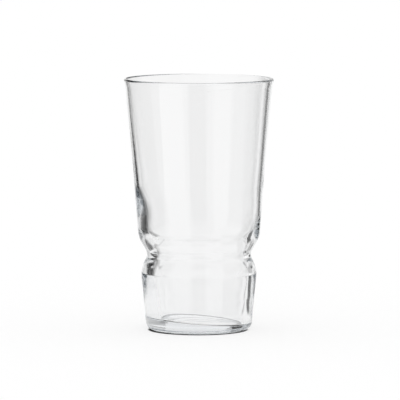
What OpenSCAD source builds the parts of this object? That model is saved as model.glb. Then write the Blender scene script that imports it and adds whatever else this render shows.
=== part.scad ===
// A highball glass in one piece of clear pressed and blown glass. A drawn-in waist sits between
// a short drum-shaped foot and a tall bowl that opens gently to a thin fire-polished lip.
// It stands on a narrow ring round a shallow hollow. The origin is the centre of that ring, +Z up.

/* [Overall] */
// Height from the resting ring to the top of the lip
height = 134.5; // [125:0.5:145]
// Widest outer diameter, across the lip
rim_d = 80; // [77:0.5:86]

/* [Lip] */
// Wall of the lip, which is rounded over its whole thickness
lip_wall = 2; // [1.2:0.1:2.6]
// Height of the flared band under the lip
flare_h = 5; // [3.5:0.5:8]
// Lean of the flared band from upright, in degrees
flare_angle = 13.5; // [10:0.5:18]
// Radius of the bend between the bowl's side and the flared band
flare_round = 15; // [8:1:25]

/* [Bowl] */
// Outer diameter at the shoulder's corner, before it is rounded
shoulder_d = 64.8; // [62:0.2:68]
// Height of the shoulder's corner
shoulder_h = 49.5; // [48:0.5:53]
// Radius of the shoulder
shoulder_round = 15.5; // [6:0.5:18]
// How far the middle of the bowl's side bows inwards from a straight line
bowl_bow = 0.45; // [0.2:0.05:1]
// Radius of the bend at the middle of the bowl's side
bowl_round = 1500; // [200:50:2500]
// Wall of the upper half of the bowl
bowl_wall = 2; // [1.2:0.1:2.6]
// Height at which the wall starts to thicken towards the shoulder
belly_h = 77; // [70:0.5:88]
// Wall at that height
belly_wall = 2.4; // [1.5:0.1:3]
// Radius of the inner bend at that height
belly_round = 60; // [20:5:120]
// Wall at the shoulder
shoulder_wall = 3.8; // [2.6:0.1:5]
// How much higher the shoulder's corner lies inside than outside
shoulder_rise = 3.2; // [0:0.1:4.5]
// Radius of the shoulder inside
shoulder_in_round = 13; // [6:0.5:18]

/* [Waist] */
// Outer diameter at the waist's corner, before it is rounded
waist_d = 54; // [51:0.2:57]
// Height of the waist's corner
waist_h = 40.3; // [39:0.1:42]
// Radius of the groove round the waist
waist_round = 5.4; // [2:0.1:7]
// Wall at the waist
waist_wall = 3.9; // [2.4:0.1:4.5]
// How much higher the neck's corner lies inside than outside
neck_rise = 1.4; // [0:0.1:1.6]
// Radius of the bend inside the neck
neck_round = 6.5; // [3:0.5:10]

/* [Foot] */
// Outer diameter at the drum's upper corner, before it is rounded
drum_d = 62.4; // [60:0.2:66]
// Height of the drum's upper corner
drum_h = 33.1; // [31:0.1:35]
// Radius of the drum's upper corner
drum_round = 15.5; // [6:0.5:18]
// Wall at the drum's upper corner
drum_wall = 5.1; // [4:0.1:6.5]
// How much higher the drum's corner lies inside than outside, or lower if it is negative
chamber_rise = -3.1; // [-5:0.1:1]
// Radius of the drum's upper corner inside
chamber_round = 1; // [0.5:0.5:8]
// Height at which the drum's wall starts to thicken towards the floor
taper_h = 18.5; // [13:0.5:23]
// Wall at that height
taper_wall = 5.9; // [4:0.1:6.5]
// Radius of the inner bend at that height
taper_round = 8; // [2:0.5:12]
// Outer diameter of the foot where its side meets the table, before the heel is rounded
foot_d = 56; // [53:0.5:60]
// Radius of the heel
heel_round = 4.1; // [2:0.1:6]
// Wall of the foot where it meets the inside floor
foot_wall = 5.8; // [4:0.1:7]

/* [Base] */
// Height of the inside floor above the table
floor_h = 5; // [4:0.1:8]
// Radius of the corner between the inside floor and the wall
floor_round = 1.5; // [1:0.5:5]
// Width of the flat ring that the glass stands on
ring_w = 3; // [1.5:0.1:5]
// Radius of the ring's inner edge
ring_round = 3; // [1:0.5:5]
// Rise of the hollow inside the ring
hollow_h = 1.2; // [0.5:0.1:3]
// Radius of the hollow's bend between its flat crown and its slope
hollow_round = 60; // [20:5:100]

/* [Hidden] */

$fn = 128;
// Largest turn between two points of a rounded corner, in degrees
bend_step = 5;
// Share of the ring's inner radius that the hollow's flat crown takes
crown_share = 0.5;

// The lip is a half round, and its outer corner lies where a lip of the full width is rounded off
lip_round = lip_wall / 2;
lip_r = rim_d / 2 - lip_round + lip_round / tan((90 - flare_angle) / 2);
lip_inner_r = lip_r - lip_wall / cos(flare_angle);
flare_r = lip_r - flare_h * tan(flare_angle);
side_r = (shoulder_d / 2 + flare_r) / 2 - bowl_bow;
side_z = (shoulder_h + height - flare_h) / 2;
ring_r = foot_d / 2 - heel_round - ring_w;

// Outer radius on the straight lines of the bowl's lower side and of the drum
function radius_between(r1, z1, r2, z2, z) = r1 + (r2 - r1) * (z - z1) / (z2 - z1);
belly_r = radius_between(shoulder_d / 2, shoulder_h, side_r, side_z, belly_h);
taper_r = radius_between(foot_d / 2, 0, drum_d / 2, drum_h, taper_h);

// Corners of the outer surface from the hollow's crown to the lip: distance from the axis, height, rounding
outside = [
    [0, hollow_h, 0],
    [ring_r * crown_share, hollow_h, hollow_round],
    [ring_r, 0, ring_round],
    [foot_d / 2, 0, heel_round],
    [drum_d / 2, drum_h, drum_round],
    [waist_d / 2, waist_h, waist_round],
    [shoulder_d / 2, shoulder_h, shoulder_round],
    [side_r, side_z, bowl_round],
    [flare_r, height - flare_h, flare_round],
    [lip_r, height, lip_round],
];

// Corners of the inner surface from the lip to the middle of the floor
inside = [
    [lip_inner_r, height, lip_round],
    [flare_r - bowl_wall, height - flare_h, flare_round],
    [belly_r - belly_wall, belly_h, belly_round],
    [shoulder_d / 2 - shoulder_wall, shoulder_h + shoulder_rise, shoulder_in_round],
    [waist_d / 2 - waist_wall, waist_h + neck_rise, neck_round],
    [drum_d / 2 - drum_wall, drum_h + chamber_rise, chamber_round],
    [taper_r - taper_wall, taper_h, taper_round],
    [foot_d / 2 - foot_wall, floor_h, floor_round],
    [0, floor_h, 0],
];

function place(corner) = [corner[0], corner[1]];
function unit(v) = v / norm(v);
function run(path, i) = norm(place(path[i + 1]) - place(path[i]));
function back(path, i) = unit(place(path[i - 1]) - place(path[i]));
function ahead(path, i) = unit(place(path[i + 1]) - place(path[i]));
function half_angle(path, i) = acos(back(path, i) * ahead(path, i)) / 2;
function is_end(path, i) = i == 0 || i == len(path) - 1;

// Length that a corner's rounding would take from the straight run on each side of it
function wanted(path, i) =
    is_end(path, i) ? 0 : path[i][2] / tan(half_angle(path, i));

// The same, where two roundings on one run share it if both don't fit
function share_of_run(path, i, j) =
    min(1, run(path, min(i, j)) / max(wanted(path, i) + wanted(path, j), run(path, min(i, j))));
function taken(path, i) =
    wanted(path, i) * min(share_of_run(path, i, i - 1), share_of_run(path, i, i + 1));

function shortest_turn(a) = a > 180 ? a - 360 : a < -180 ? a + 360 : a;

// Points of one corner: the corner itself at an end, otherwise an arc
function rounded_corner(path, i) =
    is_end(path, i) ? [place(path[i])] :
    let (
        half = half_angle(path, i),
        length = taken(path, i),
        radius = length * tan(half),
        centre = place(path[i]) + unit(back(path, i) + ahead(path, i)) * length / cos(half),
        first = place(path[i]) + back(path, i) * length - centre,
        last = place(path[i]) + ahead(path, i) * length - centre,
        start = atan2(first[1], first[0]),
        turn = shortest_turn(atan2(last[1], last[0]) - start),
        steps = max(2, ceil(abs(turn) / bend_step))
    )
    [for (k = [0 : steps]) centre + radius * [cos(start + turn * k / steps), sin(start + turn * k / steps)]];

function rounded(path) = [for (i = [0 : len(path) - 1]) each rounded_corner(path, i)];

module glass() {
    color([0.9, 0.94, 0.96, 0.4])
        rotate_extrude()
            polygon(rounded(concat(outside, inside)));
}

glass();
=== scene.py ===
import math
from collections import namedtuple

import bmesh
import bpy
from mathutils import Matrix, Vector


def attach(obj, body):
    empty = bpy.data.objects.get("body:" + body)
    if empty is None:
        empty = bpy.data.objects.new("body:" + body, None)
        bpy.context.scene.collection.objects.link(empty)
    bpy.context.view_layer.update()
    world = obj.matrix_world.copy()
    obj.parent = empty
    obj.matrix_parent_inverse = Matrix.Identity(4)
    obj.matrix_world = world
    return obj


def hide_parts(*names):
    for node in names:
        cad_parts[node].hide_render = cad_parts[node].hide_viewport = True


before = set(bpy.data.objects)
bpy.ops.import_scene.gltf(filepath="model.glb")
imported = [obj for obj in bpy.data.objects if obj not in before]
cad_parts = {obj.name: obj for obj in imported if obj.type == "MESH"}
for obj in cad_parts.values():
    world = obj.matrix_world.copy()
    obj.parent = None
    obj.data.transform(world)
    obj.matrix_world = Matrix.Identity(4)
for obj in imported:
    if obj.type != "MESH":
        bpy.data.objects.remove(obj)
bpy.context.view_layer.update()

MM = 0.001
# Two points closer than this, in millimetres, are one
TINY = 1e-6
WHITE = (1, 1, 1, 1)

# Outer sizes of the glass in millimetres, the same as those of the solid
HEIGHT = 134.5
RIM_D = 80.0
FLARE_H = 5.0
FLARE_ANGLE = math.radians(13.5)
FLARE_ROUND = 15.0
SHOULDER_D = 64.8
SHOULDER_H = 49.5
SHOULDER_ROUND = 15.5
BOWL_BOW = 0.45
BOWL_ROUND = 1500.0
WAIST_D = 54.0
WAIST_H = 40.3
WAIST_ROUND = 5.4
DRUM_D = 62.4
DRUM_H = 33.1
DRUM_ROUND = 15.5
FOOT_D = 56.0
HEEL_ROUND = 4.1
RING_W = 3.0
RING_ROUND = 3.0
HOLLOW_H = 1.2
HOLLOW_ROUND = 60.0
CROWN_SHARE = 0.5

# Inner sizes in millimetres: walls, and heights and roundings where they differ from the outside
LIP_WALL = 2.0
BOWL_WALL = 2.0
BELLY_H = 77.0
BELLY_WALL = 2.4
BELLY_ROUND = 60.0
SHOULDER_WALL = 3.8
SHOULDER_RISE = 3.2
SHOULDER_IN_ROUND = 13.0
WAIST_WALL = 3.9
NECK_RISE = 1.4
NECK_ROUND = 6.5
DRUM_WALL = 5.1
CHAMBER_RISE = -3.1
CHAMBER_ROUND = 1.0
TAPER_H = 18.5
TAPER_WALL = 5.9
TAPER_ROUND = 8.0
FOOT_WALL = 5.8
FLOOR_H = 5.0
FLOOR_ROUND = 1.5

# Unevenness of the blown inner surface: heights, how far it has run to the right of the axis at
# each, and how much its floor leans down to the right
RUNS = ((8.0, 0.8), (30.0, 0.65), (42.0, 0.6), (52.0, 0.45),
        (61.0, 0.85), (78.0, -0.22), (130.0, -0.85))
FLOOR_LEAN = math.radians(4.5)

# Fineness of the mesh
SEGMENTS_AROUND = 270
BEND_STEP = math.radians(3)
LONGEST_RUN = 2.0

# Clear soda-lime glass, whose tint shows only over a long way through it
GLASS_IOR = 1.52
GLASS_TINT = (0.32, 0.38, 0.43, 1)
TINT_DENSITY = 6

# Faint ripple that fire polishing leaves on the surface: its depth is in metres
RIPPLE_SCALE = 60.0
RIPPLE_DETAIL = 1
RIPPLE_STRENGTH = 0.02
RIPPLE_DEPTH = 0.0001

# What the glass shows of the studio round it, as levels of brightness. A panel faces the glass from
# an azimuth, in degrees from straight behind the glass towards the right, and reaches half its
# width to each side of it. It lies on the floor from a distance in metres onwards and rises to an
# elevation in degrees. Each panel covers the ones before it.
Panel = namedtuple("Panel", "azimuth half_width near top level")
PANELS = [
    Panel(azimuth=3, half_width=26, near=0.05, top=14, level=0.93),
    Panel(azimuth=-44, half_width=15, near=0.125, top=28, level=0.02),
    Panel(azimuth=-55, half_width=10, near=0.36, top=0, level=0.55),
    Panel(azimuth=54, half_width=8, near=0.06, top=0, level=0.05),
    Panel(azimuth=54, half_width=8, near=0.12, top=0, level=0.9),
    Panel(azimuth=31, half_width=5, near=0.25, top=0, level=0.05),
    Panel(azimuth=-141, half_width=24, near=0.03, top=50, level=1.2),
    Panel(azimuth=125, half_width=30, near=0.03, top=50, level=0.9),
]
# Softness of a panel's sides and top in degrees, and of its near edge as a share of the distance
SIDE_SOFTNESS = 1.0
TOP_SOFTNESS = 2.0
NEAR_SOFTNESS_SHARE = 0.15
# The room beyond the panels, the ceiling above an elevation in degrees, and the floor near the
# glass up to a distance in metres
ROOM_LEVEL = 0.55
CEILING_FROM = 12.0
CEILING_LEVEL = 1.05
NEAR_FLOOR = 0.12
NEAR_LEVEL = 0.97
# Share of the floor's brightness that comes from the light falling on it
LIT_SHARE = 0.3
FLOOR_HALF = 6.0

# Painted shadow on the floor where the heel meets it: a dark ring between two radii in metres,
# round a point a little to the front of the axis, seen by the camera as well as through the glass
PAINTED_SHADOW_CENTRE = (-0.0005, -0.0015, 0.0)
PAINTED_SHADOW_INNER = 0.0205
PAINTED_SHADOW_INNER_SOFTNESS = 0.001
PAINTED_SHADOW_OUTER = 0.0266
PAINTED_SHADOW_OUTER_SOFTNESS = 0.0008
PAINTED_SHADOW_LEVEL = 0.03

# The camera stands in front at a distance in metres, so high that it looks down on the rim at a
# small angle, and aims at mid height
CAMERA_DISTANCE = 2.4
CAMERA_OVER_RIM = math.radians(3.721)
CAMERA_AIM = (0.0006, 0.0, 0.0694)
CAMERA_LENS = 406
# Light that is trapped in the thick wall takes many bounces to leave it
BOUNCES = 64


def corner_lists():
    """Radius, height and rounding of each corner: outside up to the lip, inside down from it."""
    lip_round = LIP_WALL / 2
    lip_r = RIM_D / 2 - lip_round + lip_round / math.tan((math.pi / 2 - FLARE_ANGLE) / 2)
    lip_inner_r = lip_r - LIP_WALL / math.cos(FLARE_ANGLE)
    flare_r = lip_r - FLARE_H * math.tan(FLARE_ANGLE)
    flare_z = HEIGHT - FLARE_H
    side_r = (SHOULDER_D / 2 + flare_r) / 2 - BOWL_BOW
    side_z = (SHOULDER_H + flare_z) / 2
    belly_r = SHOULDER_D / 2 + ((side_r - SHOULDER_D / 2)
                                * (BELLY_H - SHOULDER_H) / (side_z - SHOULDER_H))
    taper_r = (FOOT_D + (DRUM_D - FOOT_D) * TAPER_H / DRUM_H) / 2
    ring_r = FOOT_D / 2 - HEEL_ROUND - RING_W
    outside = [
        (0, HOLLOW_H, 0),
        (ring_r * CROWN_SHARE, HOLLOW_H, HOLLOW_ROUND),
        (ring_r, 0, RING_ROUND),
        (FOOT_D / 2, 0, HEEL_ROUND),
        (DRUM_D / 2, DRUM_H, DRUM_ROUND),
        (WAIST_D / 2, WAIST_H, WAIST_ROUND),
        (SHOULDER_D / 2, SHOULDER_H, SHOULDER_ROUND),
        (side_r, side_z, BOWL_ROUND),
        (flare_r, flare_z, FLARE_ROUND),
        (lip_r, HEIGHT, lip_round),
    ]
    inside = [
        (lip_inner_r, HEIGHT, lip_round),
        (flare_r - BOWL_WALL, flare_z, FLARE_ROUND),
        (belly_r - BELLY_WALL, BELLY_H, BELLY_ROUND),
        (SHOULDER_D / 2 - SHOULDER_WALL, SHOULDER_H + SHOULDER_RISE, SHOULDER_IN_ROUND),
        (WAIST_D / 2 - WAIST_WALL, WAIST_H + NECK_RISE, NECK_ROUND),
        (DRUM_D / 2 - DRUM_WALL, DRUM_H + CHAMBER_RISE, CHAMBER_ROUND),
        (taper_r - TAPER_WALL, TAPER_H, TAPER_ROUND),
        (FOOT_D / 2 - FOOT_WALL, FLOOR_H, FLOOR_ROUND),
        (0, FLOOR_H, 0),
    ]
    return outside, inside


def arc(centre, first, turn):
    """Points on an arc from its first point, given from the centre, over a turn."""
    steps = max(2, math.ceil(abs(turn) / BEND_STEP))
    points = []
    for k in range(steps + 1):
        a = turn * k / steps
        points.append(centre + Vector((first.x * math.cos(a) - first.y * math.sin(a),
                                       first.x * math.sin(a) + first.y * math.cos(a))))
    return points


def rounded(corners):
    """The outline with each corner as an arc. Two arcs on one run share it if both don't fit."""
    place = [Vector(c[:2]) for c in corners]
    last = len(corners) - 1
    wanted, half = [0.0] * len(corners), [0.0] * len(corners)
    for i in range(1, last):
        half[i] = (place[i - 1] - place[i]).angle(place[i + 1] - place[i]) / 2
        wanted[i] = corners[i][2] / math.tan(half[i])
    runs = [(place[i + 1] - place[i]).length for i in range(last)]
    outline = []
    for i in range(len(corners)):
        if wanted[i] == 0:
            outline.append(place[i])
            continue
        fits = [min(1, runs[j] / (wanted[j] + wanted[j + 1])) for j in (i - 1, i)]
        length = wanted[i] * min(fits)
        back = (place[i - 1] - place[i]).normalized()
        ahead = (place[i + 1] - place[i]).normalized()
        centre = place[i] + (back + ahead).normalized() * length / math.cos(half[i])
        first = place[i] + back * length - centre
        turn = math.pi - 2 * half[i]
        if back.x * ahead.y - back.y * ahead.x > 0:
            turn = -turn
        outline += arc(centre, first, turn)
    return outline


def finely_cut(outline):
    """The outline with its long straight runs cut into short ones."""
    fine = [outline[0]]
    for p in outline[1:]:
        start = fine[-1]
        if (p - start).length < TINY:
            continue
        pieces = max(1, math.ceil((p - start).length / LONGEST_RUN))
        fine += [start.lerp(p, k / pieces) for k in range(1, pieces + 1)]
    return fine


def smooth_step(low, high, value):
    t = min(1, max(0, (value - low) / (high - low)))
    return t * t * (3 - 2 * t)


def run_to_right(z):
    """How far the inner surface has run to the right of the axis at one height."""
    run = RUNS[0][1]
    for (low, _), (high, target) in zip(RUNS, RUNS[1:]):
        run += (target - run) * smooth_step(low, high, z)
    return run


def uneven(x, y, z):
    """Where a point of the inner surface lies once the glass has run a little to one side."""
    x += run_to_right(z)
    z -= math.tan(FLOOR_LEAN) * x * (1 - smooth_step(FLOOR_H, DRUM_H, z))
    return x, y, z


def ring_of(bm, p, is_inner):
    """The ring in metres that one point of the outline turns into, or one point on the axis."""
    ring = []
    for k in range(1 if p.x < TINY else SEGMENTS_AROUND):
        a = 2 * math.pi * k / SEGMENTS_AROUND
        x, y, z = p.x * math.cos(a), p.x * math.sin(a), p.y
        if is_inner:
            x, y, z = uneven(x, y, z)
        ring.append(bm.verts.new((x * MM, y * MM, z * MM)))
    return ring


def join_rings(bm, ring, following):
    """The faces between one ring and the one that follows it."""
    for k in range(SEGMENTS_AROUND):
        n = (k + 1) % SEGMENTS_AROUND
        if len(ring) == 1:
            bm.faces.new((ring[0], following[n], following[k]))
        elif len(following) == 1:
            bm.faces.new((ring[k], ring[n], following[0]))
        else:
            bm.faces.new((ring[k], ring[n], following[n], following[k]))


def make_glass():
    """The whole glass as one closed lathed mesh."""
    outside, inside = corner_lists()
    outline = finely_cut(rounded(outside + inside))
    # Past its highest point, the outline is the inner surface
    top = max(range(len(outline)), key=lambda i: outline[i].y)
    bm = bmesh.new()
    rings = [ring_of(bm, p, i > top) for i, p in enumerate(outline)]
    for ring, following in zip(rings, rings[1:]):
        join_rings(bm, ring, following)
    mesh = bpy.data.meshes.new("highball")
    bm.to_mesh(mesh)
    bm.free()
    mesh.shade_smooth()
    piece = bpy.data.objects.new("highball", mesh)
    bpy.context.scene.collection.objects.link(piece)
    return piece


def new_tree(owner):
    owner.use_nodes = True
    owner.node_tree.nodes.clear()
    return owner.node_tree


def maths(tree, operation, *values):
    """One Math node on numbers or sockets."""
    node = tree.nodes.new("ShaderNodeMath")
    node.operation = operation
    for socket, value in zip(node.inputs, values):
        if isinstance(value, bpy.types.NodeSocket):
            tree.links.new(value, socket)
        else:
            socket.default_value = value
    return node.outputs["Value"]


def rise(tree, value, middle, softness):
    """A smooth step from 0 to 1 round the middle value."""
    node = tree.nodes.new("ShaderNodeMapRange")
    node.interpolation_type = "SMOOTHSTEP"
    tree.links.new(value, node.inputs["Value"])
    node.inputs["From Min"].default_value = middle - softness
    node.inputs["From Max"].default_value = middle + softness
    return node.outputs["Result"]


def mix_level(tree, level, other, share):
    """The level moved towards another one by a share from 0 to 1."""
    step = maths(tree, "MULTIPLY", maths(tree, "SUBTRACT", other, level), share)
    return maths(tree, "ADD", level, step)


def in_front_of(tree, across, panel):
    """1 where the flat direction points at the panel, 0 elsewhere."""
    dot = tree.nodes.new("ShaderNodeVectorMath")
    dot.operation = "DOT_PRODUCT"
    tree.links.new(across, dot.inputs[0])
    azimuth = math.radians(panel.azimuth)
    dot.inputs[1].default_value = (math.sin(azimuth), math.cos(azimuth), 0)
    angle = maths(tree, "DEGREES", maths(tree, "ARCCOSINE", dot.outputs["Value"]))
    outside = rise(tree, angle, panel.half_width, SIDE_SOFTNESS)
    return maths(tree, "SUBTRACT", 1.0, outside)


def distance_from(tree, place, point):
    """How far a place on the floor is from one point."""
    node = tree.nodes.new("ShaderNodeVectorMath")
    node.operation = "DISTANCE"
    tree.links.new(place, node.inputs[0])
    node.inputs[1].default_value = point
    return node.outputs["Value"]


def flat_direction(tree, vector):
    """The vector's direction along the floor, the vector laid flat, and its height."""
    parts = tree.nodes.new("ShaderNodeSeparateXYZ")
    tree.links.new(vector, parts.inputs[0])
    flat = tree.nodes.new("ShaderNodeCombineXYZ")
    tree.links.new(parts.outputs["X"], flat.inputs["X"])
    tree.links.new(parts.outputs["Y"], flat.inputs["Y"])
    unit = tree.nodes.new("ShaderNodeVectorMath")
    unit.operation = "NORMALIZE"
    tree.links.new(flat.outputs[0], unit.inputs[0])
    return unit.outputs["Vector"], flat.outputs[0], parts.outputs["Z"]


def ripple(tree):
    """A very shallow unevenness of the polished surface."""
    coordinates = tree.nodes.new("ShaderNodeTexCoord")
    noise = tree.nodes.new("ShaderNodeTexNoise")
    noise.inputs["Scale"].default_value = RIPPLE_SCALE
    noise.inputs["Detail"].default_value = RIPPLE_DETAIL
    tree.links.new(coordinates.outputs["Object"], noise.inputs["Vector"])
    bump = tree.nodes.new("ShaderNodeBump")
    bump.inputs["Strength"].default_value = RIPPLE_STRENGTH
    bump.inputs["Distance"].default_value = RIPPLE_DEPTH
    tree.links.new(noise.outputs["Fac"], bump.inputs["Height"])
    return bump.outputs["Normal"]


def glass_material():
    """Clear glass that takes on a grey-blue tint over a long way through it."""
    mat = bpy.data.materials.new("clear_glass")
    tree = new_tree(mat)
    out = tree.nodes.new("ShaderNodeOutputMaterial")
    shader = tree.nodes.new("ShaderNodeBsdfPrincipled")
    shader.inputs["Base Color"].default_value = WHITE
    shader.inputs["Transmission Weight"].default_value = 1
    shader.inputs["IOR"].default_value = GLASS_IOR
    shader.inputs["Roughness"].default_value = 0
    tree.links.new(ripple(tree), shader.inputs["Normal"])
    absorb = tree.nodes.new("ShaderNodeVolumeAbsorption")
    absorb.inputs["Color"].default_value = GLASS_TINT
    absorb.inputs["Density"].default_value = TINT_DENSITY
    tree.links.new(shader.outputs["BSDF"], out.inputs["Surface"])
    tree.links.new(absorb.outputs["Volume"], out.inputs["Volume"])
    return mat


def floor_level(tree):
    """White to the camera apart from a painted shadow ring where the heel touches, and in the glass
    it shows the studio.
    """
    coordinates = tree.nodes.new("ShaderNodeTexCoord")
    across, flat, _ = flat_direction(tree, coordinates.outputs["Object"])
    distance = distance_from(tree, flat, (0, 0, 0))
    in_room = rise(tree, distance, NEAR_FLOOR, NEAR_FLOOR * NEAR_SOFTNESS_SHARE)
    level = mix_level(tree, NEAR_LEVEL, ROOM_LEVEL, in_room)
    for panel in PANELS:
        beyond = rise(tree, distance, panel.near, panel.near * NEAR_SOFTNESS_SHARE)
        share = maths(tree, "MULTIPLY", in_front_of(tree, across, panel), beyond)
        level = mix_level(tree, level, panel.level, share)
    path = tree.nodes.new("ShaderNodeLightPath")
    level = mix_level(tree, level, 1.0, path.outputs["Is Camera Ray"])
    # Painted shadow: the floor darkened in a ring round the heel, applied after the camera's white
    # so the camera sees it too
    from_heel = distance_from(tree, flat, PAINTED_SHADOW_CENTRE)
    painted_shadow = maths(tree, "SUBTRACT", rise(tree, from_heel, PAINTED_SHADOW_INNER, PAINTED_SHADOW_INNER_SOFTNESS),
                    rise(tree, from_heel, PAINTED_SHADOW_OUTER, PAINTED_SHADOW_OUTER_SOFTNESS))
    return mix_level(tree, level, PAINTED_SHADOW_LEVEL, painted_shadow)


def floor_material():
    """Part glow and part lit surface, so that it takes a soft shadow."""
    mat = bpy.data.materials.new("studio_floor")
    tree = new_tree(mat)
    level = floor_level(tree)
    glow = tree.nodes.new("ShaderNodeEmission")
    tree.links.new(maths(tree, "MULTIPLY", level, 1 - LIT_SHARE), glow.inputs["Strength"])
    lit = tree.nodes.new("ShaderNodeBsdfDiffuse")
    tree.links.new(maths(tree, "MULTIPLY", level, LIT_SHARE), lit.inputs["Color"])
    both = tree.nodes.new("ShaderNodeAddShader")
    tree.links.new(glow.outputs["Emission"], both.inputs[0])
    tree.links.new(lit.outputs["BSDF"], both.inputs[1])
    out = tree.nodes.new("ShaderNodeOutputMaterial")
    tree.links.new(both.outputs["Shader"], out.inputs["Surface"])
    return mat


def make_floor():
    mesh = bpy.data.meshes.new("studio_floor")
    corners = [(x * FLOOR_HALF, y * FLOOR_HALF, 0) for x, y in ((-1, -1), (1, -1), (1, 1), (-1, 1))]
    mesh.from_pydata(corners, [], [(0, 1, 2, 3)])
    floor = bpy.data.objects.new("studio_floor", mesh)
    bpy.context.scene.collection.objects.link(floor)
    mesh.materials.append(floor_material())


def make_world():
    """White to the camera and to the floor. In the glass, the panels and the room round it."""
    world = bpy.data.worlds.new("studio")
    bpy.context.scene.world = world
    tree = new_tree(world)
    coordinates = tree.nodes.new("ShaderNodeTexCoord")
    across, _, up = flat_direction(tree, coordinates.outputs["Generated"])
    elevation = maths(tree, "DEGREES", maths(tree, "ARCSINE", up))
    in_ceiling = rise(tree, elevation, CEILING_FROM, TOP_SOFTNESS)
    level = mix_level(tree, ROOM_LEVEL, CEILING_LEVEL, in_ceiling)
    for panel in PANELS:
        below_top = maths(tree, "SUBTRACT", 1.0, rise(tree, elevation, panel.top, TOP_SOFTNESS))
        share = maths(tree, "MULTIPLY", in_front_of(tree, across, panel), below_top)
        level = mix_level(tree, level, panel.level, share)
    shown = tree.nodes.new("ShaderNodeBackground")
    tree.links.new(level, shown.inputs["Strength"])
    shown.inputs["Color"].default_value = WHITE
    white = tree.nodes.new("ShaderNodeBackground")
    white.inputs["Color"].default_value = WHITE
    path = tree.nodes.new("ShaderNodeLightPath")
    bare = maths(tree, "MAXIMUM", path.outputs["Is Camera Ray"], path.outputs["Is Diffuse Ray"])
    mix = tree.nodes.new("ShaderNodeMixShader")
    tree.links.new(bare, mix.inputs["Fac"])
    tree.links.new(shown.outputs[0], mix.inputs[1])
    tree.links.new(white.outputs[0], mix.inputs[2])
    out = tree.nodes.new("ShaderNodeOutputWorld")
    tree.links.new(mix.outputs[0], out.inputs["Surface"])


def make_camera():
    height = HEIGHT * MM + CAMERA_DISTANCE * math.tan(CAMERA_OVER_RIM)
    where = Vector((0, -CAMERA_DISTANCE, height))
    data = bpy.data.cameras.new("camera")
    data.lens = CAMERA_LENS
    camera = bpy.data.objects.new("camera", data)
    camera.location = where
    camera.rotation_euler = (Vector(CAMERA_AIM) - where).to_track_quat("-Z", "Y").to_euler()
    bpy.context.scene.collection.objects.link(camera)
    bpy.context.scene.camera = camera


make_camera()
glass = make_glass()
glass.data.materials.append(glass_material())
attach(glass, "root")
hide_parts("glass")
make_floor()
make_world()
bpy.context.scene.view_settings.view_transform = "Standard"
bpy.context.scene.cycles.max_bounces = BOUNCES
bpy.context.scene.cycles.glossy_bounces = BOUNCES
bpy.context.scene.cycles.transmission_bounces = BOUNCES
